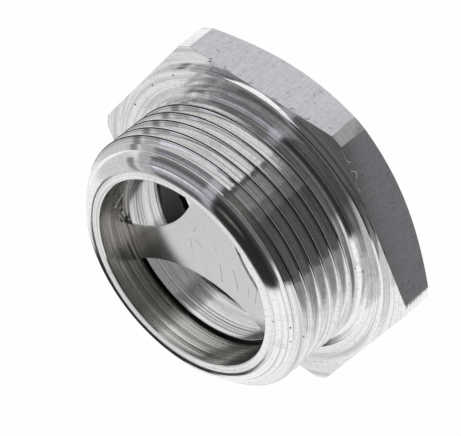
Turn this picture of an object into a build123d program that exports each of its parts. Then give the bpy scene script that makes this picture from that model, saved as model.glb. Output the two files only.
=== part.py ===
from build123d import *

import os
from math import asin, cos, radians, sin, tan

os.makedirs("parts", exist_ok=True)

# An oil sight glass that screws into a tank wall, standing on the front face of its hexagon head.
# The axis is Z: the head's front face is at z = 0 and the open thread end is at the top.
# The flats' normals lie at 0, 60, 120 degrees and so on, so a flat faces +X.

# Driving dimensions in mm
across_flats = 36.0
flat_count = 6
flat_cut_depth = 10.0
corner_radius = 20.35
head_chamfer_start = 0.5
head_chamfer_angle = 30.0
hexagon_top = 5.55
collar_radius = 17.9
collar_top = 6.3
collar_edge_break = 0.12
total_length = 17.0

# The M30 x 1.5 external thread
thread_radius = 15.0
thread_pitch = 1.5
thread_depth = 0.92
thread_half_angle = 30.0
crest_flat = thread_pitch / 8
crest_height_at_x_axis = 7.06
thread_turns = 8
thread_sunk = 0.18
thread_foot = 7.05
land_radius = 14.95
land_relief = 0.3
foot_cone_radius = 15.95
foot_cone_rise = 0.08
thread_chamfer_start = 15.1
thread_chamfer_angle = 33.0
nose_radius = 2.15
nose_start_radius = 12.15
nose_cuts = 4

# The bore from the thread end: the mouth, the seat of the reflector and the throat
mouth_radius = 11.3
mouth_edge_break = 0.2
reflector_seat = 12.75
throat_radius = 10.83

# The chamber of the window, open to the head's face before the lip is rolled over
chamber_radius = 12.7
chamber_top = 8.3
seal_height = 2.2
seal_inner_radius = 10.5
seal_fit = 0.1
glass_thickness = 4.0
glass_fit = 0.15

# The rolled lip that holds the glass, and the dished face around it
lip_inner_radius = 11.7
lip_crown_radius = 12.3
lip_outer_radius = 13.35
lip_height = 1.0
lip_inner_edge = 0.55
lip_fall = 0.3
dish_floor = 1.75
dish_floor_radius = 13.75
dish_rim_radius = 14.75

# The reflector: a disc with three round bites, its middle a little off the punch's centre
reflector_thickness = 0.3
reflector_fit = 0.03
bite_radius = 13.9
bite_centre_distance = 18.3
bite_count = 3
first_bite_angle = 60.0
bite_offset_x = -0.6
bite_offset_y = -0.45

glass_top = chamber_top - seal_height
glass_bottom = glass_top - glass_thickness
chamfer_rise = tan(radians(head_chamfer_angle))
head_face_radius = across_flats / 2 - head_chamfer_start / chamfer_rise
corner_chamfer_top = (corner_radius - head_face_radius) * chamfer_rise
thread_chamfer_slope = tan(radians(thread_chamfer_angle))
thread_root_radius = thread_radius - thread_depth
land_bottom = collar_top + foot_cone_rise + land_relief


def thread_chamfer_height(radius):
    """Height of the chamfer that starts the thread, at this radius."""
    return thread_chamfer_start + (thread_radius - radius) * thread_chamfer_slope


def nose_outline():
    """Points on the rounded nose, from the end face, which it is tangent to, to the thread's root."""
    centre_height = total_length - nose_radius
    sweep = asin((thread_root_radius - nose_start_radius) / nose_radius)
    turns = [k * sweep / nose_cuts for k in range(nose_cuts + 1)]
    return [
        (nose_start_radius + nose_radius * sin(turn), centre_height + nose_radius * cos(turn))
        for turn in turns
    ]


def turned_blank():
    """Everything that the lathe makes but the thread, as one half section spun round."""
    with BuildSketch(Plane.XZ) as section:
        with BuildLine():
            Polyline(
                (throat_radius, chamber_top),
                (throat_radius, reflector_seat),
                (mouth_radius, reflector_seat),
                (mouth_radius, total_length - mouth_edge_break),
                (mouth_radius + mouth_edge_break, total_length),
                *nose_outline(),
                (thread_root_radius, thread_foot),
                (land_radius, thread_foot),
                (land_radius, land_bottom),
                (land_radius + land_relief, land_bottom - land_relief),
                (foot_cone_radius, collar_top),
                (collar_radius - collar_edge_break, collar_top),
                (collar_radius, collar_top - collar_edge_break),
                (collar_radius, hexagon_top),
                (corner_radius, hexagon_top),
                (corner_radius, corner_chamfer_top),
                (head_face_radius, 0.0),
                (dish_rim_radius, 0.0),
                (dish_floor_radius, dish_floor),
                (lip_outer_radius, dish_floor),
                (lip_outer_radius, lip_height + lip_fall),
                (lip_crown_radius, lip_height),
                (lip_inner_radius, glass_bottom - lip_inner_edge),
                (lip_inner_radius, glass_bottom),
                (chamber_radius, glass_bottom),
                (chamber_radius, chamber_top),
                (throat_radius, chamber_top),
            )
        make_face()
    return revolve(section.sketch, axis=Axis.Z)


def thread_ridge():
    """One helical ridge: two flanks and a flat crest, ruled between four helices."""
    start = crest_height_at_x_axis - thread_pitch
    climb = thread_turns * thread_pitch
    sunk_radius = thread_root_radius - thread_sunk
    corners = []
    for radius, side in (
        (sunk_radius, -1),
        (thread_radius, -1),
        (thread_radius, 1),
        (sunk_radius, 1),
    ):
        half_width = crest_flat / 2 + (thread_radius - radius) * tan(radians(thread_half_angle))
        centre = (0, 0, start + side * half_width)
        corners.append(Helix(thread_pitch, climb, radius, center=centre).edge())
    faces = [
        Face.make_surface_from_curves(edge, corners[(k + 1) % len(corners)])
        for k, edge in enumerate(corners)
    ]
    for end in (0, 1):
        outline = [edge.position_at(end) for edge in corners]
        faces.append(Face(Wire.make_polygon(outline, close=True)))
    return Solid(Shell(faces))


def thread():
    """The ridge, cut off level at its foot and by the chamfer at the open end."""
    inside = thread_root_radius - 2 * thread_sunk
    outside = thread_radius + 2 * thread_sunk
    with BuildSketch(Plane.XZ) as section:
        with BuildLine():
            Polyline(
                (inside, thread_foot),
                (outside, thread_foot),
                (outside, thread_chamfer_height(outside)),
                (inside, thread_chamfer_height(inside)),
                close=True,
            )
        make_face()
    return thread_ridge() & revolve(section.sketch, axis=Axis.Z)


def body():
    """Hexagon head, collar and threaded shank in one piece."""
    flat_cutter = Pos(across_flats / 2, 0, hexagon_top) * Box(
        flat_cut_depth,
        across_flats,
        2 * hexagon_top,
        align=(Align.MIN, Align.CENTER, Align.MAX),
    )
    blank = turned_blank()
    for k in range(flat_count):
        blank -= Rot(0, 0, k * 360.0 / flat_count) * flat_cutter
    return blank + thread()


def seal():
    """A flat rubber ring between the shoulder of the chamber and the glass."""
    on_glass = (Align.CENTER, Align.CENTER, Align.MIN)
    disc = Cylinder(chamber_radius - seal_fit, seal_height, align=on_glass)
    hole = Cylinder(seal_inner_radius, seal_height, align=on_glass)
    return Pos(0, 0, glass_top) * (disc - hole)


def glass():
    """The round window, which lies between the rolled lip and the seal."""
    return Pos(0, 0, glass_bottom) * Cylinder(
        chamber_radius - glass_fit,
        glass_thickness,
        align=(Align.CENTER, Align.CENTER, Align.MIN),
    )


def reflector():
    """A thin disc that shows the oil level by contrast, with three bites that let the oil past."""
    sheet = Cylinder(
        mouth_radius - reflector_fit,
        reflector_thickness,
        align=(Align.CENTER, Align.CENTER, Align.MIN),
    )
    step = 360.0 / bite_count
    for k in range(bite_count):
        turn = radians(first_bite_angle + k * step)
        x = bite_offset_x + bite_centre_distance * cos(turn)
        y = bite_offset_y + bite_centre_distance * sin(turn)
        sheet -= Pos(x, y, 0) * Cylinder(bite_radius, 4 * reflector_thickness)
    return Pos(0, 0, reflector_seat) * sheet


pieces = {
    "body": body(),
    "sealing_ring": seal(),
    "window_glass": glass(),
    "reflector_plate": reflector(),
}
for name, shape in pieces.items():
    export_step(shape, f"parts/{name}.step")
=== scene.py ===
import math

import bmesh
import bpy
from mathutils import Matrix, Vector


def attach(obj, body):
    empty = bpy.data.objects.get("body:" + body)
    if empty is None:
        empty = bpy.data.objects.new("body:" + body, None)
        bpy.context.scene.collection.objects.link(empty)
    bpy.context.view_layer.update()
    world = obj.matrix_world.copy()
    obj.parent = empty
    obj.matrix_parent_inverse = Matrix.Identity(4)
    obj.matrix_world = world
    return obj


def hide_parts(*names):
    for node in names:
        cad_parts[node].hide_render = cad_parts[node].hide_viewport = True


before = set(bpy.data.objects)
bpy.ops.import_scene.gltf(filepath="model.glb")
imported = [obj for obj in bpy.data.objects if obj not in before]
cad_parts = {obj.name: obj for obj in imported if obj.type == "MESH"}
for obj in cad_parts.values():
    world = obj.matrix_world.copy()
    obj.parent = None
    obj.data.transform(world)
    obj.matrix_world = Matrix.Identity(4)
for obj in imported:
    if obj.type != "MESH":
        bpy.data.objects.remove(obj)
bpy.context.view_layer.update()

MM = 0.001
AXIS = (0.0, 0.0, 1.0)

# Sizes of the turned body in mm, as in the part's source. Only the corner radius is a hair smaller, as the
# corners of the solid's own mesh are.
ACROSS_FLATS = 36.0
FLAT_COUNT = 6
CORNER_RADIUS = 20.348
HEXAGON_TOP = 5.55
HEAD_FACE_RADIUS = 17.134
CORNER_CHAMFER_TOP = 1.857
COLLAR_RADIUS = 17.9
COLLAR_TOP = 6.3
COLLAR_EDGE_BREAK = 0.12
TOTAL_LENGTH = 17.0
THREAD_RADIUS = 15.0
THREAD_ROOT = 14.08
THREAD_PITCH = 1.5
THREAD_FLANK_SLOPE = math.tan(math.radians(30.0))
THREAD_TURNS = 8
THREAD_SUNK = 0.18
THREAD_FOOT = 7.05
THREAD_CHAMFER_START = 15.1
THREAD_CHAMFER_SLOPE = math.tan(math.radians(33.0))
CREST_AT_X_AXIS = 7.06
CREST_FLAT = THREAD_PITCH / 8
LAND_RADIUS = 14.95
LAND_RELIEF = 0.3
FOOT_CONE_RADIUS = 15.95
FOOT_CONE_RISE = 0.08
LAND_BOTTOM = COLLAR_TOP + FOOT_CONE_RISE + LAND_RELIEF
NOSE_RADIUS = 2.15
NOSE_START = 12.15
NOSE_END_ANGLE = 26.2
MOUTH_RADIUS = 11.3
MOUTH_EDGE = 0.08
REFLECTOR_SEAT = 12.75
REFLECTOR_TOP = 13.05
THROAT_RADIUS = 10.83
CHAMBER_RADIUS = 12.7
CHAMBER_TOP = 8.3
GLASS_BOTTOM = 2.1
GLASS_RADIUS = 12.55
DISH_RIM_RADIUS = 14.75
DISH_FLOOR_RADIUS = 13.75
DISH_FLOOR = 1.75
LIP_OUTER_RADIUS = 13.35
LIP_CROWN_RADIUS = 12.3
LIP_INNER_RADIUS = 11.7
LIP_HEIGHT = 1.0
LIP_FALL = 0.3
LIP_INNER_EDGE = 0.55

# Small rounds on the edges in mm, which only the scene has
EDGE_ROUND = 0.035
FLAT_EDGE_ROUND = 0.05
CREST_EDGE_DROP = 0.05
CREST_EDGE_INSET = 0.03

# How fine the meshes are
TURN_STEPS = 360
RIDGE_STEPS = 180
NOSE_STEPS = 14
ROUND_STEPS = 3

# Angles in degrees: a corner of the half section flatter than the first stays as it is, the edges of a flat
# are sharper than the second, and shading is smooth below the third
NEARLY_STRAIGHT = 165.0
FLAT_EDGE_ANGLE = 20.0
SMOOTH_LIMIT = 5.5

# A flat has more corners than this, and its middle is this near to its place in mm
FLAT_CORNERS = 30
FLAT_MARGIN = 0.2

# Two places nearer than this count as one: in mm, and in metres where a mesh is merged or cut
SAME_PLACE = 0.001
MERGE_DISTANCE = 1e-7
CUT_DISTANCE = 1e-8

# Painted shade lines along the thread's crest in mm: how far a line lies from the crest's middle, and how
# far from the line it has faded out and is full. The painted highlight on the crest's middle fades out
# likewise.
CREST_LINE = 0.11
CREST_LINE_FADE = (0.06, 0.03)
SECOND_LINE = 0.24
SECOND_LINE_FADE = (0.05, 0.02)
SECOND_LINE_MOST = 0.5
CREST_HIGHLIGHT_FADE = (0.065, 0.04)

# The painted shade lines grow faint on the side that faces +Y: where they are faintest and where full in mm,
# and how faint
FAINT_SIDE = (5.0, 0.5)
FAINT_SHARE = 0.25

# Marks on the metal in mm: where each starts and ends, and its half width
PITS = (
    ((6.65, -15.65, 6.3), (6.65, -15.75, 6.3), 0.14),
    ((10.76, -13.07, 6.3), (10.86, -13.07, 6.3), 0.14),
    ((2.58, -17.12, 6.3), (2.68, -17.12, 6.3), 0.13),
    ((-14.6, 5.09, 6.36), (-14.6, 5.19, 6.36), 0.12),
    ((-11.48, 4.63, 16.97), (-11.58, 4.63, 16.97), 0.10),
    ((-12.64, 5.84, 16.03), (-12.64, 5.94, 16.03), 0.13),
    ((-11.65, 7.68, 15.98), (-11.65, 7.78, 15.98), 0.11),
    ((-12.91, 7.48, 15.15), (-12.91, 7.58, 15.15), 0.12),
    ((-3.22, -18.71, 5.55), (-3.12, -18.71, 5.55), 0.16),
)
NICKS = (
    ((-14.2, -12.6, 5.5), (-14.5, -12.4, 5.2), 0.07),
    ((-12.4, -13.6, 5.5), (-12.7, -13.5, 5.1), 0.08),
    ((-10.3, -14.8, 5.45), (-10.9, -14.5, 5.4), 0.06),
    ((-7.6, -16.4, 5.5), (-7.9, -16.2, 5.2), 0.08),
    ((-4.9, -18.0, 5.5), (-5.6, -17.6, 5.45), 0.07),
    ((-3.1, -19.0, 5.5), (-3.3, -18.9, 5.3), 0.09),
    ((-18.0, -1.2, 5.5), (-18.0, -1.9, 5.45), 0.06),
    ((-18.0, 3.4, 5.5), (-18.0, 2.9, 5.4), 0.07),
)
# Painted glints on burrs near the top edge of a flat
BURR_GLINTS = (
    ((-18.0, -7.9, 5.5), (-18.0, -7.5, 5.15), 0.08),
    ((-18.0, -6.7, 5.45), (-18.0, -6.2, 4.9), 0.08),
    ((-18.0, -6.2, 4.9), (-18.0, -5.6, 5.2), 0.08),
    ((-18.0, -4.6, 5.5), (-18.0, -4.2, 5.35), 0.07),
)
# Painted shade in the stake dents on the mouth's wall
DENT_SHADES = (
    ((9.0, -6.85, 13.9), (9.9, -5.45, 13.6), 0.42),
    ((10.3, -4.6, 13.6), (10.85, -3.2, 12.95), 0.36),
)
# Painted highlights on the edges of those dents
DENT_HIGHLIGHTS = (
    ((9.85, -5.55, 14.4), (9.25, -6.5, 13.5), 0.17),
    ((10.45, -4.3, 13.4), (10.7, -3.65, 13.15), 0.2),
)

# Scratches on top of the reflector in mm: start and end seen from above, and half width
SCRATCHES = (
    ((-1.46, 1.39), (-0.63, 3.55), 0.06),
    ((-3.23, 1.82), (-2.68, 4.32), 0.06),
    ((0.9, -1.6), (0.1, -0.4), 0.05),
    ((-5.9, 3.6), (-4.4, 5.9), 0.04),
    ((1.6, -1.5), (2.0, -0.2), 0.04),
    ((-0.2, -3.2), (0.6, -2.6), 0.035),
    ((-1.9, -1.0), (-1.7, -0.2), 0.03),
    ((-4.4, 3.9), (-3.9, 5.0), 0.03),
    ((3.8, 1.5), (3.85, 1.5), 0.06),
    ((1.1, 3.0), (1.15, 3.0), 0.05),
    ((-3.0, -2.4), (-2.95, -2.4), 0.05),
)

# A darker side of the mouth, and painted shade at the reflector's seat: the way each lies from the axis,
# how far out it starts and is full in mm, and the least and the most of it. The painted shade also fades
# with its height over the seat.
MOUTH_DARKER_SIDE = (0.99, -0.139, 0.0)
MOUTH_DARKER_REACH = (6.2, 9.2)
MOUTH_DARKER_AMOUNT = (0.0, 0.68)
SEAT_SHADE_SIDE = (0.5, 0.866, 0.0)
SEAT_SHADE_REACH = (5.6, 7.2)
SEAT_SHADE_AMOUNT = (0.25, 1.0)
SEAT_SHADE_HEIGHT = (0.30, 0.18)

# Colours of the finishes
TURNED_PLAIN = (0.87, 0.87, 0.875)
TURNED_DULL = (0.62, 0.61, 0.60)
TURNED_BRIGHT = (0.91, 0.91, 0.915)
TURNED_STAIN = (0.55, 0.53, 0.50)
TURNED_SPECKLE = (0.60, 0.59, 0.57)
# Painted shade and a painted highlight on the thread's crest
CREST_SHADE_COLOUR = (0.02, 0.02, 0.022)
CREST_HIGHLIGHT_COLOUR = (0.96, 0.96, 0.965)
PIT_DARK = (0.12, 0.11, 0.10)
BORE_PLAIN = (0.80, 0.79, 0.77)
THROAT_DULL = (0.80, 0.79, 0.765)
THROAT_BRIGHT = (0.97, 0.97, 0.965)
MOUTH_DULL = (0.42, 0.40, 0.37)
MOUTH_BRIGHT = (0.88, 0.86, 0.82)
# Darker colour towards one side of the mouth's wall
MOUTH_DARKER = (0.13, 0.12, 0.105)
# Painted shade in the corner where the reflector meets the mouth's wall
SEAT_SHADE = (0.05, 0.045, 0.04)
# Painted shade and painted highlights of the stake dents
DENT_SHADE_COLOUR = (0.07, 0.065, 0.055)
DENT_HIGHLIGHT_COLOUR = (0.80, 0.78, 0.74)
CHAMBER_PLAIN = (0.90, 0.91, 0.91)
CHAMBER_DULL = (0.84, 0.86, 0.86)
CHAMBER_BRIGHT = (0.96, 0.97, 0.97)
FLAT_PLAIN = (0.56, 0.555, 0.59)
FLAT_DULL = (0.54, 0.535, 0.57)
FLAT_BRIGHT = (0.61, 0.605, 0.645)
FLAT_LINE = (0.38, 0.375, 0.40)
FLAT_SPECK = (0.20, 0.20, 0.22)
NICK_DARK = (0.10, 0.10, 0.11)
# Painted glint on the burrs
BURR_GLINT_COLOUR = (0.98, 0.98, 0.98)
SHEET_PLAIN = (0.85, 0.85, 0.84)
SHEET_DULL = (0.84, 0.835, 0.825)
SHEET_BRIGHT = (0.96, 0.96, 0.95)
SCRATCH_DARK = (0.40, 0.39, 0.38)
RUBBER_BLACK = (0.008, 0.008, 0.008)
GLASS_PLAIN = (0.93, 0.98, 0.98)
GLASS_TINT = (0.955, 0.985, 0.98)
GLASS_CLEAR = (0.97, 0.99, 0.985)

# How far the tool's rings tilt the normal, how rough the metal is, and how matt
CREST_TILT = 0.26
FLANK_TILT = 0.12
THROAT_TILT = 1.4
MOUTH_TILT = 2.2
CREST_ROUGHNESS = 0.11
FLANK_ROUGHNESS = 0.10
FLANK_MATT = 0.14
# Less metal in the painted highlight on the crest
CORE_MATT = 0.55
# Less metal in the painted highlights of the dents
DENT_HIGHLIGHT_METAL = 0.2
# Less metal in the painted glints on the burrs
BURR_GLINT_METAL = 0.1

# How far up the normal of a level face points, from a little to fully, and its share of the tilt
LEVEL_FACE = (0.93, 0.985)
LEVEL_FACE_SHARE = 0.2

# The tool's marks: lines and rings per mm, and how much they change along X, across the rings
LINES_PER_MM = 4.0
TURNED_RINGS_PER_MM = 6.0
BORE_RINGS_PER_MM = 9.0
LINES_DRIFT = 60.0
RINGS_DRIFT = 40.0

# A stroke is full at this share of its half width
STROKE_CORE = 0.45

# Fine lines along the flats: how dense their noise is along X, Y and Z
FLAT_LINES_SCALE = (7500.0, 7500.0, 350.0)
FLAT_RELIEF = 0.002
SHEET_RELIEF = 0.0004


def arc(centre, radius, start, end, steps):
    """Points on an arc in the half section, as radius and height, angles in degrees."""
    points = []
    for k in range(steps + 1):
        turn = math.radians(start + (end - start) * k / steps)
        points.append((centre[0] + radius * math.cos(turn), centre[1] + radius * math.sin(turn)))
    return points


def softened(points, radius):
    """A closed half section with each corner rounded by a small radius."""
    out = []
    for k, corner in enumerate(points):
        here = Vector(corner)
        before = Vector(points[k - 1]) - here
        after = Vector(points[(k + 1) % len(points)]) - here
        angle = before.angle(after)
        if math.degrees(angle) > NEARLY_STRAIGHT:
            out.append(tuple(here))
            continue
        reach = min(radius / math.tan(angle / 2), before.length / 3, after.length / 3)
        first = here + before.normalized() * reach
        last = here + after.normalized() * reach
        for step in range(ROUND_STEPS + 1):
            t = step / ROUND_STEPS
            spot = first * (1 - t) ** 2 + here * 2 * t * (1 - t) + last * t**2
            out.append(tuple(spot))
    return out


def closed_chain(mesh, points):
    """A closed chain of edges in the XZ plane from points given as radius and height in mm."""
    verts = [mesh.verts.new((r * MM, 0.0, z * MM)) for r, z in points]
    return verts, [
        mesh.edges.new((verts[k], verts[(k + 1) % len(verts)])) for k in range(len(verts))
    ]


def body_section():
    """Half section of the turned body without its thread."""
    bore = [
        (THROAT_RADIUS, CHAMBER_TOP),
        (THROAT_RADIUS, REFLECTOR_SEAT),
        (MOUTH_RADIUS, REFLECTOR_SEAT),
        (MOUTH_RADIUS, TOTAL_LENGTH - MOUTH_EDGE),
        (MOUTH_RADIUS + MOUTH_EDGE, TOTAL_LENGTH),
    ]
    nose_centre = (NOSE_START, TOTAL_LENGTH - NOSE_RADIUS)
    nose = arc(nose_centre, NOSE_RADIUS, start=90.0, end=NOSE_END_ANGLE, steps=NOSE_STEPS)
    foot = [
        (THREAD_ROOT, THREAD_FOOT),
        (LAND_RADIUS, THREAD_FOOT),
        (LAND_RADIUS, LAND_BOTTOM),
        (LAND_RADIUS + LAND_RELIEF, LAND_BOTTOM - LAND_RELIEF),
        (FOOT_CONE_RADIUS, COLLAR_TOP),
        (COLLAR_RADIUS - COLLAR_EDGE_BREAK, COLLAR_TOP),
        (COLLAR_RADIUS, COLLAR_TOP - COLLAR_EDGE_BREAK),
        (COLLAR_RADIUS, HEXAGON_TOP),
    ]
    head = [
        (CORNER_RADIUS, HEXAGON_TOP),
        (CORNER_RADIUS, CORNER_CHAMFER_TOP),
        (HEAD_FACE_RADIUS, 0.0),
        (DISH_RIM_RADIUS, 0.0),
        (DISH_FLOOR_RADIUS, DISH_FLOOR),
        (LIP_OUTER_RADIUS, DISH_FLOOR),
        (LIP_OUTER_RADIUS, LIP_HEIGHT + LIP_FALL),
        (LIP_CROWN_RADIUS, LIP_HEIGHT),
        (LIP_INNER_RADIUS, GLASS_BOTTOM - LIP_INNER_EDGE),
        (LIP_INNER_RADIUS, GLASS_BOTTOM),
        (CHAMBER_RADIUS, GLASS_BOTTOM),
        (CHAMBER_RADIUS, CHAMBER_TOP),
    ]
    return softened(bore + nose + foot + head, EDGE_ROUND)


def thread_ridge(mesh):
    """The helical ridge of the thread, a closed section carried round and up by spin."""
    sunk = THREAD_ROOT - THREAD_SUNK
    half = CREST_FLAT / 2
    upper = [
        (THREAD_RADIUS, half - CREST_EDGE_INSET),
        (THREAD_RADIUS - CREST_EDGE_DROP, half + CREST_EDGE_DROP * THREAD_FLANK_SLOPE),
        (sunk, half + (THREAD_RADIUS - sunk) * THREAD_FLANK_SLOPE),
    ]
    lower = [(r, -z) for r, z in reversed(upper)]
    start = CREST_AT_X_AXIS - THREAD_PITCH
    verts, edges = closed_chain(mesh, [(r, z + start) for r, z in lower + upper])
    mesh.faces.new(verts)
    grown = bmesh.ops.spin(
        mesh,
        geom=verts + edges,
        cent=(0, 0, 0),
        axis=AXIS,
        dvec=(0, 0, THREAD_PITCH * MM / RIDGE_STEPS),
        angle=2 * math.pi * THREAD_TURNS,
        steps=RIDGE_STEPS * THREAD_TURNS,
        use_merge=False,
    )
    last = [item for item in grown["geom_last"] if isinstance(item, bmesh.types.BMVert)]
    mesh.faces.new(last)
    bmesh.ops.recalc_face_normals(mesh, faces=mesh.faces)


def mesh_object(name, mesh):
    """Turns a bmesh into an object at the origin."""
    data = bpy.data.meshes.new(name)
    mesh.to_mesh(data)
    mesh.free()
    piece = bpy.data.objects.new(name, data)
    bpy.context.scene.collection.objects.link(piece)
    return piece


def cut_to(piece, cutter):
    """Keeps only what lies inside the cutter, then deletes the cutter."""
    step = piece.modifiers.new("cut", "BOOLEAN")
    step.operation = "INTERSECT"
    step.solver = "EXACT"
    step.object = cutter
    bpy.context.view_layer.update()
    graph = bpy.context.evaluated_depsgraph_get()
    data = bpy.data.meshes.new_from_object(piece.evaluated_get(graph))
    piece.modifiers.clear()
    piece.data = data
    bpy.data.objects.remove(cutter)


def turned_solid(mesh, section):
    """Spins a closed half section into a closed turned solid."""
    verts, edges = closed_chain(mesh, section)
    bmesh.ops.spin(
        mesh,
        geom=verts + edges,
        cent=(0, 0, 0),
        axis=AXIS,
        dvec=(0, 0, 0),
        angle=2 * math.pi,
        steps=TURN_STEPS,
        use_merge=True,
    )
    bmesh.ops.remove_doubles(mesh, verts=mesh.verts, dist=MERGE_DISTANCE)
    bmesh.ops.recalc_face_normals(mesh, faces=mesh.faces)


def chamfer_height(radius):
    """Height of the chamfer that starts the thread, at this radius."""
    return THREAD_CHAMFER_START + (THREAD_RADIUS - radius) * THREAD_CHAMFER_SLOPE


def make_thread():
    """The ridge, cut off level at its foot and by the chamfer at the open end."""
    mesh = bmesh.new()
    thread_ridge(mesh)
    ridge = mesh_object("thread_ridge", mesh)
    inside = THREAD_ROOT - 2 * THREAD_SUNK
    outside = THREAD_RADIUS + 2 * THREAD_SUNK
    section = [
        (inside, THREAD_FOOT),
        (outside, THREAD_FOOT),
        (outside, chamfer_height(outside)),
        (inside, chamfer_height(inside)),
    ]
    mesh = bmesh.new()
    turned_solid(mesh, section)
    cut_to(ridge, mesh_object("thread_envelope", mesh))
    return ridge


def cut_flats(mesh):
    """Cuts the flats of the hexagon, each closed by one face."""
    for k in range(FLAT_COUNT):
        turn = math.radians(k * 360.0 / FLAT_COUNT)
        side = Vector((math.cos(turn), math.sin(turn), 0.0))
        cut = bmesh.ops.bisect_plane(
            mesh,
            geom=mesh.verts[:] + mesh.edges[:] + mesh.faces[:],
            dist=CUT_DISTANCE,
            plane_co=side * ACROSS_FLATS / 2 * MM,
            plane_no=side,
            clear_outer=True,
        )
        rim = [item for item in cut["geom_cut"] if isinstance(item, bmesh.types.BMEdge)]
        bmesh.ops.holes_fill(mesh, edges=rim, sides=0)


def is_flat(face):
    """Whether a face is one of the flats of the hexagon."""
    away = math.hypot(*face.calc_center_median()[:2])
    return len(face.verts) > FLAT_CORNERS and abs(away - ACROSS_FLATS / 2 * MM) < FLAT_MARGIN * MM


def round_flat_edges(mesh):
    """Rounds the edges of each flat a little."""
    rims = [
        edge
        for edge in mesh.edges
        if len(edge.link_faces) == 2
        and edge.calc_face_angle(0.0) > math.radians(FLAT_EDGE_ANGLE)
        and any(is_flat(face) for face in edge.link_faces)
    ]
    bmesh.ops.bevel(
        mesh,
        geom=rims,
        offset=FLAT_EDGE_ROUND * MM,
        segments=2,
        profile=0.5,
        affect="EDGES",
        material=-1,
        clamp_overlap=True,
    )


def shade_body(data):
    """Smooth shading, with sharp corners and a sharp start of the nose on the end face."""
    for face in data.polygons:
        face.use_smooth = True
    data.set_sharp_from_angle(angle=math.radians(SMOOTH_LIMIT))
    for edge in data.edges:
        ends = [data.vertices[k].co / MM for k in edge.vertices]
        on_end_face = all(abs(end.z - TOTAL_LENGTH) < SAME_PLACE for end in ends)
        on_nose_start = all(abs(math.hypot(end.x, end.y) - NOSE_START) < SAME_PLACE for end in ends)
        if on_end_face and on_nose_start:
            edge.use_edge_sharp = True


def make_body():
    """Hexagon head, collar and shank with the thread as one piece."""
    ridge = make_thread()
    mesh = bmesh.new()
    turned_solid(mesh, body_section())
    cut_flats(mesh)
    round_flat_edges(mesh)
    mesh.from_mesh(ridge.data)
    bpy.data.objects.remove(ridge)
    piece = mesh_object("turned_body", mesh)
    shade_body(piece.data)
    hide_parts("body")
    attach(piece, "root")
    return piece


# Nodes that the materials are made of


def node_group(name, inputs, outputs):
    """An empty group with named sockets, its start and its end."""
    group = bpy.data.node_groups.new(name, "ShaderNodeTree")
    for label, kind, value in inputs:
        socket = group.interface.new_socket(label, in_out="INPUT", socket_type=kind)
        if value is not None:
            socket.default_value = value
    for label, kind in outputs:
        group.interface.new_socket(label, in_out="OUTPUT", socket_type=kind)
    return group, group.nodes.new("NodeGroupInput"), group.nodes.new("NodeGroupOutput")


def group_node(tree, group, vector):
    """A shared group placed in a material and fed with a place on the piece."""
    node = tree.nodes.new("ShaderNodeGroup")
    node.node_tree = group
    tree.links.new(vector, node.inputs["Vector"])
    return node


def math_node(tree, operation, *values, clamp=False):
    """A calculation with sockets or plain numbers."""
    node = tree.nodes.new("ShaderNodeMath")
    node.operation = operation
    node.use_clamp = clamp
    for k, value in enumerate(values):
        if isinstance(value, (int, float)):
            node.inputs[k].default_value = value
        else:
            tree.links.new(value, node.inputs[k])
    return node.outputs[0]


def vector_node(tree, operation, *values):
    """A calculation with vectors. A dot product and a distance give a number."""
    node = tree.nodes.new("ShaderNodeVectorMath")
    node.operation = operation
    for k, value in enumerate(values):
        if isinstance(value, (tuple, Vector)):
            node.inputs[k].default_value = value
        else:
            tree.links.new(value, node.inputs[k])
    return node.outputs["Value" if operation in ("DOT_PRODUCT", "DISTANCE") else "Vector"]


def scaled(tree, vector, factor):
    """A vector times a number."""
    node = tree.nodes.new("ShaderNodeVectorMath")
    node.operation = "SCALE"
    tree.links.new(vector, node.inputs[0])
    tree.links.new(factor, node.inputs["Scale"])
    return node.outputs[0]


def smooth_step(tree, value, low, high, to_low=0.0, to_high=1.0):
    """A soft ramp from one value to another."""
    node = tree.nodes.new("ShaderNodeMapRange")
    node.interpolation_type = "SMOOTHSTEP"
    node.inputs["From Min"].default_value = low
    node.inputs["From Max"].default_value = high
    node.inputs["To Min"].default_value = to_low
    node.inputs["To Max"].default_value = to_high
    tree.links.new(value, node.inputs["Value"])
    return node.outputs[0]


def step_mm(tree, value, low, high, to_low=0.0, to_high=1.0):
    """A soft ramp between two lengths in mm."""
    return smooth_step(tree, value, low * MM, high * MM, to_low, to_high)


def band(tree, value, low, high, soft):
    """1 between two values and 0 outside them, with soft ends."""
    over = smooth_step(tree, value, low - soft, low + soft)
    past = smooth_step(tree, value, high - soft, high + soft)
    return math_node(tree, "SUBTRACT", over, past, clamp=True)


def blend(tree, mask, first, second):
    """Colour mix of two sockets or plain colours, which the Mix node keeps in its sockets 6, 7 and 2."""
    node = tree.nodes.new("ShaderNodeMix")
    node.data_type = "RGBA"
    tree.links.new(mask, node.inputs[0])
    for k, value in ((6, first), (7, second)):
        if isinstance(value, tuple):
            node.inputs[k].default_value = (*value, 1.0)
        else:
            tree.links.new(value, node.inputs[k])
    return node.outputs[2]


def noise_node(tree, vector, scale, detail):
    """Noise from about 0 to 1."""
    node = tree.nodes.new("ShaderNodeTexNoise")
    node.inputs["Scale"].default_value = scale
    node.inputs["Detail"].default_value = detail
    tree.links.new(vector, node.inputs["Vector"])
    return node.outputs[0]


def parts_of(tree, vector):
    """The three coordinates of a vector."""
    split = tree.nodes.new("ShaderNodeSeparateXYZ")
    tree.links.new(vector, split.inputs[0])
    return split.outputs


def length_of(tree, x, y):
    """The length of two coordinates together, such as the distance from the axis."""
    squares = math_node(tree, "MULTIPLY", x, x), math_node(tree, "MULTIPLY", y, y)
    return math_node(tree, "SQRT", math_node(tree, "ADD", *squares))


def radius_of(tree, place):
    """Distance of a place from the axis."""
    x, y, _ = parts_of(tree, place)
    return length_of(tree, x, y)


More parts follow.
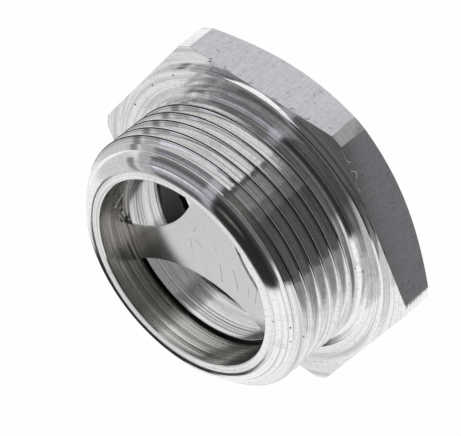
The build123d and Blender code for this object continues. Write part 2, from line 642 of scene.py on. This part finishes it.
def round_axis(tree, place):
    """The way round the axis at a place."""
    return vector_node(tree, "NORMALIZE", vector_node(tree, "CROSS_PRODUCT", AXIS, place))


def unrolled(tree, place, rings, drift):
    """Radius and height counted in rings, with a slow drift along X, so that noise makes long rings."""
    x, y, z = parts_of(tree, place)
    density = math_node(tree, "MULTIPLY", rings, 1 / MM)
    across = tree.nodes.new("ShaderNodeCombineXYZ")
    tree.links.new(math_node(tree, "MULTIPLY", length_of(tree, x, y), density), across.inputs[0])
    tree.links.new(math_node(tree, "MULTIPLY", z, density), across.inputs[1])
    tree.links.new(math_node(tree, "MULTIPLY", x, drift), across.inputs[2])
    return across.outputs[0]


# Patterns that more than one material or mark uses


def turned_lines_group():
    """Rings left by the tool as a tone that changes along the half section, and stains."""
    group, start, end = node_group(
        "turned_lines",
        [("Vector", "NodeSocketVector", None), ("Lines per mm", "NodeSocketFloat", LINES_PER_MM)],
        [("Tone", "NodeSocketFloat"), ("Stain", "NodeSocketFloat")],
    )
    place = start.outputs["Vector"]
    across = unrolled(group, place, start.outputs["Lines per mm"], LINES_DRIFT)
    group.links.new(noise_node(group, across, scale=1.1, detail=3.0), end.inputs["Tone"])
    group.links.new(noise_node(group, place, scale=420.0, detail=3.0), end.inputs["Stain"])
    return group


def ring_normal_group():
    """Grooves round the axis as a tilt of the normal along the profile only."""
    group, start, end = node_group(
        "ring_normal",
        [
            ("Vector", "NodeSocketVector", None),
            ("Normal", "NodeSocketVector", None),
            ("Rings per mm", "NodeSocketFloat", TURNED_RINGS_PER_MM),
            ("Tilt", "NodeSocketFloat", FLANK_TILT),
        ],
        [("Normal", "NodeSocketVector")],
    )
    place = start.outputs["Vector"]
    normal = start.outputs["Normal"]
    across = unrolled(group, place, start.outputs["Rings per mm"], RINGS_DRIFT)
    noise = noise_node(group, across, scale=1.0, detail=2.0)
    swing = math_node(group, "SUBTRACT", noise, 0.5)
    tilt = math_node(group, "MULTIPLY", swing, start.outputs["Tilt"])
    rise = parts_of(group, normal)[2]
    share = smooth_step(group, rise, *LEVEL_FACE, 1.0, LEVEL_FACE_SHARE)
    tilt = math_node(group, "MULTIPLY", tilt, share)
    along = vector_node(group, "CROSS_PRODUCT", round_axis(group, place), normal)
    tilted = vector_node(group, "ADD", normal, scaled(group, along, tilt))
    group.links.new(vector_node(group, "NORMALIZE", tilted), end.inputs["Normal"])
    return group


def crest_painted_lines_group():
    """Painted shade lines along the thread's crest, a painted highlight on its middle, from the place on the
    helix.
    """
    group, start, end = node_group(
        "crest_painted_lines",
        [("Vector", "NodeSocketVector", None)],
        [("Mask", "NodeSocketFloat"), ("Core", "NodeSocketFloat")],
    )
    x, y, z = parts_of(group, start.outputs["Vector"])
    radius = length_of(group, x, y)
    climbed = math_node(
        group,
        "MULTIPLY",
        math_node(group, "ARCTAN2", y, x),
        THREAD_PITCH * MM / (2 * math.pi),
    )
    level = math_node(group, "SUBTRACT", z, CREST_AT_X_AXIS * MM)
    level = math_node(group, "SUBTRACT", level, climbed)
    half = THREAD_PITCH * MM / 2
    level = math_node(group, "WRAP", level, half, -half)
    off_middle = math_node(group, "ABSOLUTE", level)
    off_first = math_node(group, "ABSOLUTE", math_node(group, "SUBTRACT", off_middle, CREST_LINE * MM))
    off_second = math_node(group, "ABSOLUTE", math_node(group, "SUBTRACT", level, SECOND_LINE * MM))
    first = step_mm(group, off_first, *CREST_LINE_FADE)
    second = step_mm(group, off_second, *SECOND_LINE_FADE, 0.0, SECOND_LINE_MOST)
    core = step_mm(group, off_middle, *CREST_HIGHLIGHT_FADE)
    on_crest = step_mm(group, radius, THREAD_RADIUS - 0.35, THREAD_RADIUS - 0.2)
    not_beyond = step_mm(group, radius, THREAD_RADIUS + 0.2, THREAD_RADIUS + 0.1)
    above = step_mm(group, z, THREAD_FOOT + 0.05, THREAD_FOOT + 0.1)
    on_thread = math_node(group, "MULTIPLY", on_crest, math_node(group, "MULTIPLY", not_beyond, above))
    strength = step_mm(group, y, *FAINT_SIDE, FAINT_SHARE, 1.0)
    second = math_node(group, "MULTIPLY", second, smooth_step(group, strength, 0.3, 1.0))
    mask = math_node(group, "MULTIPLY", math_node(group, "MAXIMUM", first, second), on_thread)
    group.links.new(math_node(group, "MULTIPLY", mask, strength), end.inputs["Mask"])
    group.links.new(math_node(group, "MULTIPLY", core, on_thread), end.inputs["Core"])
    return group


def stroke_group():
    """A short straight mark between two points: 1 on it, fading to 0 at its half width."""
    group, start, end = node_group(
        "stroke",
        [
            ("Vector", "NodeSocketVector", None),
            ("From", "NodeSocketVector", (0.0, 0.0, 0.0)),
            ("To", "NodeSocketVector", AXIS),
            ("Half width", "NodeSocketFloat", 0.1 * MM),
        ],
        [("Mask", "NodeSocketFloat")],
    )
    along = vector_node(group, "SUBTRACT", start.outputs["To"], start.outputs["From"])
    here = vector_node(group, "SUBTRACT", start.outputs["Vector"], start.outputs["From"])
    run = vector_node(group, "DOT_PRODUCT", here, along)
    length = vector_node(group, "DOT_PRODUCT", along, along)
    part = math_node(group, "DIVIDE", run, length, clamp=True)
    gap = vector_node(group, "DISTANCE", here, scaled(group, along, part))
    share = math_node(group, "DIVIDE", gap, start.outputs["Half width"])
    group.links.new(smooth_step(group, share, 1.0, STROKE_CORE), end.inputs["Mask"])
    return group


def marks_mask(tree, vector, marks):
    """The strongest of several strokes, each a start, an end and a half width in mm."""
    mask = None
    for start, stop, half_width in marks:
        node = group_node(tree, STROKE, vector)
        node.inputs["From"].default_value = Vector(start) * MM
        node.inputs["To"].default_value = Vector(stop) * MM
        node.inputs["Half width"].default_value = half_width * MM
        here = node.outputs["Mask"]
        mask = here if mask is None else math_node(tree, "MAXIMUM", mask, here)
    return mask


# Materials


def plain_material(name, colour, metallic, roughness=0.5):
    """A material with one shader, its tree and the shader."""
    material = bpy.data.materials.new(name)
    material.use_nodes = True
    shader = material.node_tree.nodes["Principled BSDF"]
    shader.inputs["Base Color"].default_value = (*colour, 1.0)
    shader.inputs["Metallic"].default_value = metallic
    shader.inputs["Roughness"].default_value = roughness
    return material, material.node_tree, shader


def add_bump(tree, shader, height, distance):
    """Relief from a pattern, as deep as this distance in mm."""
    bump = tree.nodes.new("ShaderNodeBump")
    bump.inputs["Strength"].default_value = 1.0
    bump.inputs["Distance"].default_value = distance * MM
    tree.links.new(height, bump.inputs["Height"])
    tree.links.new(bump.outputs[0], shader.inputs["Normal"])


def tilt_rings(tree, shader, coords, rings, tilt):
    """Puts the tool's rings in the shader's normal: how many per mm, and a socket with their tilt."""
    node = group_node(tree, RING_NORMAL, coords.outputs["Object"])
    tree.links.new(coords.outputs["Normal"], node.inputs["Normal"])
    node.inputs["Rings per mm"].default_value = rings
    tree.links.new(tilt, node.inputs["Tilt"])
    tree.links.new(node.outputs["Normal"], shader.inputs["Normal"])


def ring_grain(tree, shader, vector):
    """Grooves run round the axis, so a light is spread along the profile."""
    shader.inputs["Anisotropic Rotation"].default_value = 0.25
    tree.links.new(round_axis(tree, vector), shader.inputs["Tangent"])


def turned_metal():
    """Bare turned aluminium outside: thread, nose and collar."""
    material, tree, shader = plain_material("turned_aluminium", TURNED_PLAIN, metallic=1.0)
    shader.inputs["Anisotropic"].default_value = 0.85
    coords = tree.nodes.new("ShaderNodeTexCoord")
    place = coords.outputs["Object"]
    ring_grain(tree, shader, place)
    lines = group_node(tree, LINES, place)
    edges = group_node(tree, CREST_PAINTED_LINES, place)
    tone = smooth_step(tree, lines.outputs["Tone"], 0.30, 0.54)
    colour = blend(tree, tone, TURNED_DULL, TURNED_BRIGHT)
    stain = smooth_step(tree, lines.outputs["Stain"], 0.60, 0.74, 0.0, 0.35)
    colour = blend(tree, stain, colour, TURNED_STAIN)
    speckle = noise_node(tree, place, scale=2600.0, detail=4.0)
    speckle = smooth_step(tree, speckle, 0.50, 0.72, 0.0, 0.5)
    colour = blend(tree, speckle, colour, TURNED_SPECKLE)
    # Painted shade lines and a painted highlight along the thread's crest
    colour = blend(tree, edges.outputs["Mask"], colour, CREST_SHADE_COLOUR)
    colour = blend(tree, edges.outputs["Core"], colour, CREST_HIGHLIGHT_COLOUR)
    colour = blend(tree, marks_mask(tree, place, PITS), colour, PIT_DARK)
    tree.links.new(colour, shader.inputs["Base Color"])
    radius = radius_of(tree, place)
    below_crest = step_mm(tree, radius, THREAD_RADIUS - 0.02, THREAD_RADIUS - 0.05)
    above_root = step_mm(tree, radius, THREAD_ROOT - 0.05, THREAD_ROOT - 0.01)
    flank = math_node(tree, "MULTIPLY", below_crest, above_root)
    tilt = smooth_step(tree, flank, 0.0, 1.0, CREST_TILT, FLANK_TILT)
    tilt_rings(tree, shader, coords, TURNED_RINGS_PER_MM, tilt)
    roughness = smooth_step(tree, flank, 0.0, 1.0, CREST_ROUGHNESS, FLANK_ROUGHNESS)
    tree.links.new(roughness, shader.inputs["Roughness"])
    # Flanks are a little matt, and the painted highlight on the crest more so
    matt = math_node(
        tree,
        "MAXIMUM",
        math_node(tree, "MULTIPLY", flank, FLANK_MATT),
        math_node(tree, "MULTIPLY", edges.outputs["Core"], CORE_MATT),
    )
    tree.links.new(math_node(tree, "SUBTRACT", 1.0, matt), shader.inputs["Metallic"])
    return material


def seat_shade_mask(tree, place):
    """The ring of painted shade where the reflector meets the mouth's wall, stronger on one side."""
    z = parts_of(tree, place)[2]
    top_from, top_to = SEAT_SHADE_HEIGHT
    below = step_mm(tree, z, REFLECTOR_SEAT + top_from, REFLECTOR_SEAT + top_to)
    side = vector_node(tree, "DOT_PRODUCT", place, SEAT_SHADE_SIDE)
    seat_band = math_node(tree, "MULTIPLY", below, step_mm(tree, side, *SEAT_SHADE_REACH, *SEAT_SHADE_AMOUNT))
    outside = step_mm(tree, radius_of(tree, place), THROAT_RADIUS + 0.03, THROAT_RADIUS + 0.1)
    above = step_mm(tree, z, REFLECTOR_SEAT - 0.05, REFLECTOR_SEAT - 0.02)
    return math_node(tree, "MULTIPLY", math_node(tree, "MULTIPLY", seat_band, outside), above)


def bored_metal():
    """The bore's walls: coarser rings, so each side shows its light from top to bottom."""
    material, tree, shader = plain_material("bored_aluminium", BORE_PLAIN, metallic=1.0, roughness=0.20)
    shader.inputs["Anisotropic"].default_value = 1.0
    coords = tree.nodes.new("ShaderNodeTexCoord")
    place = coords.outputs["Object"]
    ring_grain(tree, shader, place)
    mouth = step_mm(tree, parts_of(tree, place)[2], REFLECTOR_SEAT, REFLECTOR_SEAT + 0.1)
    tilt = smooth_step(tree, mouth, 0.0, 1.0, THROAT_TILT, MOUTH_TILT)
    tilt_rings(tree, shader, coords, BORE_RINGS_PER_MM, tilt)
    tone = smooth_step(tree, group_node(tree, LINES, place).outputs["Tone"], 0.32, 0.62)
    # The mouth's wall is darker than the throat's, and darker still towards one side
    side = vector_node(tree, "DOT_PRODUCT", place, MOUTH_DARKER_SIDE)
    darker_side = step_mm(tree, side, *MOUTH_DARKER_REACH, *MOUTH_DARKER_AMOUNT)
    mouth_colour = blend(tree, darker_side, blend(tree, tone, MOUTH_DULL, MOUTH_BRIGHT), MOUTH_DARKER)
    colour = blend(tree, mouth, blend(tree, tone, THROAT_DULL, THROAT_BRIGHT), mouth_colour)
    # Painted shade where the reflector meets the mouth's wall, stronger on one side
    colour = blend(tree, seat_shade_mask(tree, place), colour, SEAT_SHADE)
    # Painted shade in the stake dents and painted highlights on their edges
    colour = blend(tree, marks_mask(tree, place, DENT_SHADES), colour, DENT_SHADE_COLOUR)
    light = marks_mask(tree, place, DENT_HIGHLIGHTS)
    colour = blend(tree, light, colour, DENT_HIGHLIGHT_COLOUR)
    tree.links.new(colour, shader.inputs["Base Color"])
    tree.links.new(smooth_step(tree, light, 0.0, 1.0, 1.0, DENT_HIGHLIGHT_METAL), shader.inputs["Metallic"])
    return material


def chamber_metal():
    """The chamber round the glass, rough from the tool."""
    material, tree, shader = plain_material("chamber_aluminium", CHAMBER_PLAIN, metallic=1.0, roughness=0.55)
    place = tree.nodes.new("ShaderNodeTexCoord").outputs["Object"]
    grain = noise_node(tree, place, scale=2500.0, detail=2.0)
    colour = blend(tree, grain, CHAMBER_DULL, CHAMBER_BRIGHT)
    tree.links.new(colour, shader.inputs["Base Color"])
    return material


def flat_metal():
    """The drawn flats of the hexagon bar, with fine lines along the axis."""
    material, tree, shader = plain_material("drawn_flats", FLAT_PLAIN, metallic=1.0, roughness=0.33)
    shader.inputs["Anisotropic"].default_value = 0.7
    coords = tree.nodes.new("ShaderNodeTexCoord")
    place = coords.outputs["Object"]
    tangent = vector_node(tree, "CROSS_PRODUCT", AXIS, coords.outputs["Normal"])
    tree.links.new(tangent, shader.inputs["Tangent"])
    stretched = vector_node(tree, "MULTIPLY", place, FLAT_LINES_SCALE)
    lines = noise_node(tree, stretched, scale=1.0, detail=3.0)
    cloud = noise_node(tree, place, scale=2000.0, detail=4.0)
    specks = noise_node(tree, place, scale=2600.0, detail=2.0)
    colour = blend(tree, smooth_step(tree, cloud, 0.30, 0.70), FLAT_DULL, FLAT_BRIGHT)
    colour = blend(tree, smooth_step(tree, lines, 0.36, 0.62, 0.36, 0.0), colour, FLAT_LINE)
    colour = blend(tree, smooth_step(tree, specks, 0.63, 0.74, 0.0, 0.7), colour, FLAT_SPECK)
    colour = blend(tree, marks_mask(tree, place, NICKS), colour, NICK_DARK)
    # Painted glints on burrs
    burr_glint = marks_mask(tree, place, BURR_GLINTS)
    colour = blend(tree, burr_glint, colour, BURR_GLINT_COLOUR)
    tree.links.new(colour, shader.inputs["Base Color"])
    tree.links.new(smooth_step(tree, burr_glint, 0.0, 1.0, 1.0, BURR_GLINT_METAL), shader.inputs["Metallic"])
    add_bump(tree, shader, lines, FLAT_RELIEF)
    return material


def sheet_metal():
    """Satin aluminium sheet with a few scratches."""
    material, tree, shader = plain_material("satin_sheet", SHEET_PLAIN, metallic=1.0, roughness=0.21)
    place = tree.nodes.new("ShaderNodeTexCoord").outputs["Object"]
    grain = noise_node(tree, place, scale=9000.0, detail=3.0)
    colour = blend(tree, smooth_step(tree, grain, 0.30, 0.70), SHEET_DULL, SHEET_BRIGHT)
    scratches = [
        ((*start, REFLECTOR_TOP), (*stop, REFLECTOR_TOP), half_width)
        for start, stop, half_width in SCRATCHES
    ]
    colour = blend(tree, marks_mask(tree, place, scratches), colour, SCRATCH_DARK)
    tree.links.new(colour, shader.inputs["Base Color"])
    add_bump(tree, shader, grain, SHEET_RELIEF)
    return material


def rubber_material():
    """Black rubber, a little uneven in its gloss."""
    material, tree, shader = plain_material("black_rubber", RUBBER_BLACK, metallic=0.0)
    place = tree.nodes.new("ShaderNodeTexCoord").outputs["Object"]
    grain = noise_node(tree, place, scale=1500.0, detail=2.0)
    tree.links.new(smooth_step(tree, grain, 0.3, 0.7, 0.26, 0.36), shader.inputs["Roughness"])
    return material


def glass_material():
    """Clear glass with a ground edge."""
    material, tree, shader = plain_material("window_glass", GLASS_PLAIN, metallic=0.0)
    shader.inputs["Transmission Weight"].default_value = 1.0
    shader.inputs["IOR"].default_value = 1.5
    place = tree.nodes.new("ShaderNodeTexCoord").outputs["Object"]
    cloud = noise_node(tree, place, scale=200.0, detail=1.0)
    tree.links.new(blend(tree, cloud, GLASS_TINT, GLASS_CLEAR), shader.inputs["Base Color"])
    ground = step_mm(tree, radius_of(tree, place), GLASS_RADIUS - 0.12, GLASS_RADIUS - 0.05, 0.02, 0.8)
    tree.links.new(ground, shader.inputs["Roughness"])
    return material


def body_finish(face):
    """Which finish a face of the body has, from its place and the way it faces."""
    away = math.hypot(face.center[0], face.center[1]) / MM
    height = face.center[2] / MM
    in_chamber = THROAT_RADIUS + 0.1 < away < CHAMBER_RADIUS + 0.05
    if in_chamber and GLASS_BOTTOM - 0.05 < height < CHAMBER_TOP + 0.05:
        return "chamber"
    if away < MOUTH_RADIUS + 0.4 and CHAMBER_TOP - 0.02 < height < TOTAL_LENGTH - 0.1:
        return "bore"
    upright = abs(face.normal[2]) < 0.05
    if upright and ACROSS_FLATS / 2 - 0.05 < away < ACROSS_FLATS / 2 + 0.6 and height < HEXAGON_TOP:
        return "flats"
    return "turned"


LINES = turned_lines_group()
RING_NORMAL = ring_normal_group()
CREST_PAINTED_LINES = crest_painted_lines_group()
STROKE = stroke_group()

body_finishes = {
    "turned": turned_metal(),
    "flats": flat_metal(),
    "bore": bored_metal(),
    "chamber": chamber_metal(),
}
body = make_body()
body.data.materials.clear()
for finish in body_finishes.values():
    body.data.materials.append(finish)
finish_names = list(body_finishes)
for face in body.data.polygons:
    face.material_index = finish_names.index(body_finish(face))

for node, finish in (
    ("reflector_plate", sheet_metal()),
    ("sealing_ring", rubber_material()),
    ("window_glass", glass_material()),
):
    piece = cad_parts[node]
    piece.data.materials.clear()
    piece.data.materials.append(finish)


# Studio: camera at the photo's angle, white surroundings with a dark side, and a white floor

# The camera: its place in mm, the ways that its sides face, and its focal length in pixels of the photo
CAMERA_PLACE = (-381.538, -210.671, 285.992)
CAMERA_RIGHT = (-0.66918456, 0.35253813, -0.654148)
CAMERA_DOWN = (-0.0756986, 0.84338016, 0.531959)
CAMERA_AHEAD = (0.73923091, 0.40549678, -0.53769)
FOCAL_PIXELS = 4999.46
FRAME_WIDTH = 461
SENSOR_WIDTH = 36.0

# The way to the photo's camera: as a direction, and as a part angle in degrees
PHOTO_SIDE = (-0.73185, -0.40411, 0.54873)
PHOTO_TURN = 208.9

# The studio seen in the metal, by the way a surface faces that mirrors it to the photo's camera. Each
# region has its part angle from, to and softness, its rise from, to and softness, all in degrees, and its
# colour. Later regions lie over earlier ones. Part angles run on past 360, up to a full turn from the seam.
STUDIO_WHITE = (0.98, 0.98, 0.98)
STUDIO_SEAM = 150.0
STUDIO = {
    "right_fade": (272, 306, 8, -90, 95, 1, (0.66, 0.66, 0.67)),
    "bore_left": (140, 175, 2, -20, 24, 3, (0.06, 0.06, 0.06)),
    "bore_left_end": (490, 520, 2, -20, 24, 3, (0.03, 0.03, 0.03)),
    "far_rim": (302, 480, 6, 83, 86.5, 0.6, (0.02, 0.02, 0.02)),
    "far_side_high": (338, 470, 8, 77.5, 86.5, 0.6, (0.015, 0.015, 0.015)),
    "far_side": (350, 445, 8, 70, 80, 2, (0.015, 0.015, 0.015)),
    "far_side_low": (358, 434, 10, 48, 72, 3, (0.05, 0.05, 0.05)),
    "dim_side": (178, 264, 2.5, 34, 88.9, 0.5, (0.13, 0.13, 0.14)),
    "side_light": (263, 271, 2, 25, 87.5, 1, (0.46, 0.46, 0.47)),
    "side_panel": (229, 262, 1.5, 44, 73, 3, (0.40, 0.39, 0.435)),
    "flank_light": (229, 262, 1.5, 58.9, 61.2, 0.7, (1.10, 1.08, 1.16)),
    "chamfer_dim": (229, 262, 1.5, 54.5, 58.2, 0.6, (0.11, 0.105, 0.12)),
    "low_line": (186, 262, 5, 21, 38, 3, (0.16, 0.16, 0.16)),
    "bore_dim": (175, 262, 2, -20, 24, 3, (0.05, 0.048, 0.045)),
    "bore_panel": (229, 260, 1.5, -20, 26, 3, (0.52, 0.50, 0.48)),
    "bore_dark_line": (262, 267, 1, -20, 26, 3, (0.01, 0.01, 0.01)),
    "bore_right": (275, 291, 2, -20, 26, 3, (0.03, 0.03, 0.03)),
    "dark_core": (175.6, 224.5, 2.2, 40, 82, 5, (0.024, 0.024, 0.026)),
    "dark_rim": (181, 222, 5, 80, 88.9, 0.5, (0.04, 0.04, 0.04)),
    "bore_glow": (211, 220, 2, -20, 26, 3, (0.16, 0.15, 0.13)),
    "zenith_glow": (211, 222, 3, 54, 66, 3, (0.10, 0.095, 0.085)),
    "flank_glow": (205, 219, 3, 58.9, 61.2, 0.7, (0.36, 0.34, 0.30)),
    "light_stripe": (225.5, 231, 1.0, 20, 95, 1, (0.45, 0.44, 0.49)),
    "dark_line": (273, 278, 1.5, 45, 84, 4, (0.24, 0.23, 0.24)),
}

# The white floor: its radius in mm, its shade, and how bright the camera and the metal see it
FLOOR_RADIUS = 600.0
FLOOR_SHADE = 0.85
FLOOR_SEEN = 0.985

# Cards just over the floor: how bright each is, its height over the floor and its radius in mm
CARDS = {
    "near_card": (0.28, 0.02, 90.0),
    "corner_card": (0.36, 0.035, 31.0),
    "far_card": (0.05, 0.03, 90.0),
    "glow_card": (0.13, 0.032, 90.0),
    "glow_core": (0.27, 0.034, 90.0),
    "back_card": (0.07, 0.04, 590.0),
    "under_card": (0.25, 0.05, 11.6),
    "under_band": (0.05, 0.06, 11.6),
}
SEEN_THROUGH_GLASS = (0.97, 0.985, 0.98)

# Where the cards are cut off in mm: beside a flat, round a corner, off the thread, and behind the part
NEAR_CARD_SIDE = -18.05
CORNER_CARD_FROM = -16.0
CORNER_CARD_TO = -12.0
FAR_CARD_START = 25.0
BACK_CARD_START = 20.0
BACK_CARD_HALF_WIDTH = 8.0

# The way to the middle of the far card, and the way that the sides of the back card face, in degrees
FAR_CARD_MIDDLE = 188.0
BACK_CARD_SPREAD = 96.0

# Part angles in degrees between which a card is mirrored. In the bore it is the wall across the axis that
# mirrors it, so the radius there is negative.
FAR_WEDGE = (175.0, 223.0)
GLOW_WEDGE = (205.0, 221.0)
GLOW_CORE_WEDGE = (211.0, 220.5)
UNDER_WEDGE = (177.0, 230.0)
UNDER_BAND_WEDGE = (217.0, 229.0)
BORE_MIRROR_RADIUS = -11.0


def make_camera():
    """The camera where the photo was taken from."""
    data = bpy.data.cameras.new("camera")
    data.sensor_fit = "HORIZONTAL"
    data.sensor_width = SENSOR_WIDTH
    data.lens = FOCAL_PIXELS * SENSOR_WIDTH / FRAME_WIDTH
    data.clip_start = 0.01
    data.clip_end = 20.0
    camera = bpy.data.objects.new("camera", data)
    right = Vector(CAMERA_RIGHT)
    up = -Vector(CAMERA_DOWN)
    back = -Vector(CAMERA_AHEAD)
    turn = Matrix((right, up, back)).transposed().to_4x4()
    camera.matrix_world = Matrix.Translation(Vector(CAMERA_PLACE) * MM) @ turn
    bpy.context.scene.collection.objects.link(camera)
    bpy.context.scene.camera = camera


def make_world():
    """Light studio all round, painted by the part angle and the rise of the surface that mirrors it."""
    world = bpy.data.worlds.new("studio")
    world.use_nodes = True
    tree = world.node_tree
    tree.nodes.clear()
    place = tree.nodes.new("ShaderNodeTexCoord").outputs["Generated"]
    x, y, z = parts_of(tree, vector_node(tree, "ADD", place, PHOTO_SIDE))
    back_y = math_node(tree, "MULTIPLY", y, -1.0)
    back_x = math_node(tree, "MULTIPLY", x, -1.0)
    turn = math_node(tree, "DEGREES", math_node(tree, "ARCTAN2", back_y, back_x))
    turn = math_node(tree, "ADD", turn, 180.0)
    turn = math_node(tree, "WRAP", turn, 360.0 + STUDIO_SEAM, STUDIO_SEAM)
    rise = math_node(tree, "DEGREES", math_node(tree, "ARCTAN2", z, length_of(tree, x, y)))
    colour = STUDIO_WHITE
    for turn_from, turn_to, turn_soft, rise_from, rise_to, rise_soft, level in STUDIO.values():
        mask = math_node(
            tree,
            "MULTIPLY",
            band(tree, turn, turn_from, turn_to, turn_soft),
            band(tree, rise, rise_from, rise_to, rise_soft),
        )
        colour = blend(tree, mask, colour, level)
    studio = tree.nodes.new("ShaderNodeBackground")
    tree.links.new(colour, studio.inputs["Color"])
    white = tree.nodes.new("ShaderNodeBackground")
    white.inputs["Color"].default_value = (1.0, 1.0, 1.0, 1.0)
    ray = tree.nodes.new("ShaderNodeLightPath")
    mix = tree.nodes.new("ShaderNodeMixShader")
    tree.links.new(ray.outputs["Is Camera Ray"], mix.inputs[0])
    tree.links.new(studio.outputs[0], mix.inputs[1])
    tree.links.new(white.outputs[0], mix.inputs[2])
    end = tree.nodes.new("ShaderNodeOutputWorld")
    tree.links.new(mix.outputs[0], end.inputs["Surface"])
    bpy.context.scene.world = world


def stage_material(name):
    """A material with an empty tree, and the socket that takes its shader."""
    material = bpy.data.materials.new(name)
    material.use_nodes = True
    tree = material.node_tree
    tree.nodes.clear()
    end = tree.nodes.new("ShaderNodeOutputMaterial")
    return material, tree, end.inputs["Surface"]


def make_floor():
    """White floor that keeps the part's shadow, and shows as white to the camera and in the metal."""
    mesh = bmesh.new()
    bmesh.ops.create_circle(mesh, cap_ends=True, segments=96, radius=FLOOR_RADIUS * MM)
    floor = mesh_object("floor", mesh)
    material, tree, surface = stage_material("white_floor")
    matt = tree.nodes.new("ShaderNodeBsdfDiffuse")
    matt.inputs["Color"].default_value = (FLOOR_SHADE, FLOOR_SHADE, FLOOR_SHADE, 1.0)
    glow = tree.nodes.new("ShaderNodeEmission")
    glow.inputs["Strength"].default_value = 1.0
    ray = tree.nodes.new("ShaderNodeLightPath")
    seen = math_node(tree, "ADD", ray.outputs["Is Camera Ray"], ray.outputs["Is Glossy Ray"])
    seen = math_node(tree, "ADD", seen, ray.outputs["Is Transmission Ray"], clamp=True)
    seen = math_node(tree, "MULTIPLY", seen, FLOOR_SEEN)
    mix = tree.nodes.new("ShaderNodeMixShader")
    tree.links.new(seen, mix.inputs[0])
    tree.links.new(matt.outputs[0], mix.inputs[1])
    tree.links.new(glow.outputs[0], mix.inputs[2])
    tree.links.new(mix.outputs[0], surface)
    floor.data.materials.append(material)


def make_card(name, edges, through_glass=False):
    """A grey card on the floor, a disc cut off at each edge, seen only in the metal or through the glass."""
    level, height, reach = CARDS[name]
    grey = (level, level, level)
    mesh = bmesh.new()
    bmesh.ops.create_circle(mesh, cap_ends=True, segments=64, radius=reach * MM)
    for through, facing in edges:
        facing = math.radians(facing)
        bmesh.ops.bisect_plane(
            mesh,
            geom=mesh.verts[:] + mesh.edges[:] + mesh.faces[:],
            dist=CUT_DISTANCE,
            plane_co=Vector((*through, 0.0)) * MM,
            plane_no=Vector((math.cos(facing), math.sin(facing), 0.0)),
            clear_outer=True,
        )
    card = mesh_object(name, mesh)
    card.location = (0.0, 0.0, height * MM)
    material, tree, surface = stage_material(name)
    glow = tree.nodes.new("ShaderNodeEmission")
    glow.inputs["Color"].default_value = (*grey, 1.0)
    if through_glass:
        ray = tree.nodes.new("ShaderNodeLightPath")
        direct = math_node(tree, "LESS_THAN", ray.outputs["Glossy Depth"], 0.5)
        tree.links.new(blend(tree, direct, grey, SEEN_THROUGH_GLASS), glow.inputs["Color"])
    tree.links.new(glow.outputs[0], surface)
    card.data.materials.append(material)
    card.visible_camera = False
    card.visible_diffuse = False
    card.visible_shadow = False
    card.visible_transmission = through_glass


def mirror_edge(turn, radius, side):
    """The line on the floor that a part angle mirrors, as a point and the way its outer side faces."""
    angle = math.radians(turn)
    through = (radius * math.cos(angle), radius * math.sin(angle))
    return through, 2 * turn - PHOTO_TURN + side * 90.0


def mirror_wedge(turn_from, turn_to, radius):
    """The two lines on the floor between which a range of part angles mirrors it."""
    return [mirror_edge(turn_from, radius, -1), mirror_edge(turn_to, radius, 1)]


def side_point(distance, turn):
    """A place on the floor, from the axis, its turn counted from straight behind the part."""
    angle = math.radians(PHOTO_TURN + 180.0 + turn)
    return distance * math.cos(angle), distance * math.sin(angle)


def make_cards():
    """Cards that give the metal its darker bands, as in the photo."""
    beside_flat = ((NEAR_CARD_SIDE, 0.0), 0.0)
    make_card("near_card", [beside_flat, ((0.0, CORNER_CARD_TO), -90.0)])
    corner = [((0.0, CORNER_CARD_FROM), -90.0), ((0.0, CORNER_CARD_TO), 90.0)]
    make_card("corner_card", [beside_flat, *corner])
    middle = math.radians(FAR_CARD_MIDDLE)
    start = (FAR_CARD_START * math.cos(middle), FAR_CARD_START * math.sin(middle))
    before_thread = (start, FAR_CARD_MIDDLE - 180.0)
    make_card("far_card", [*mirror_wedge(*FAR_WEDGE, THREAD_RADIUS), before_thread])
    make_card("glow_card", [*mirror_wedge(*GLOW_WEDGE, THREAD_RADIUS), before_thread])
    make_card("glow_core", [*mirror_wedge(*GLOW_CORE_WEDGE, THREAD_RADIUS), before_thread])
    behind = PHOTO_TURN - 180.0
    back = [
        (side_point(BACK_CARD_HALF_WIDTH, side * 90.0), behind + side * BACK_CARD_SPREAD)
        for side in (1, -1)
    ]
    make_card("back_card", [*back, (side_point(BACK_CARD_START, 0.0), PHOTO_TURN)])
    make_card("under_card", mirror_wedge(*UNDER_WEDGE, BORE_MIRROR_RADIUS), through_glass=True)
    make_card("under_band", mirror_wedge(*UNDER_BAND_WEDGE, BORE_MIRROR_RADIUS), through_glass=True)


make_camera()
make_world()
make_floor()
make_cards()

scene = bpy.context.scene
scene.view_settings.view_transform = "Standard"

bpy.context.view_layer.update()
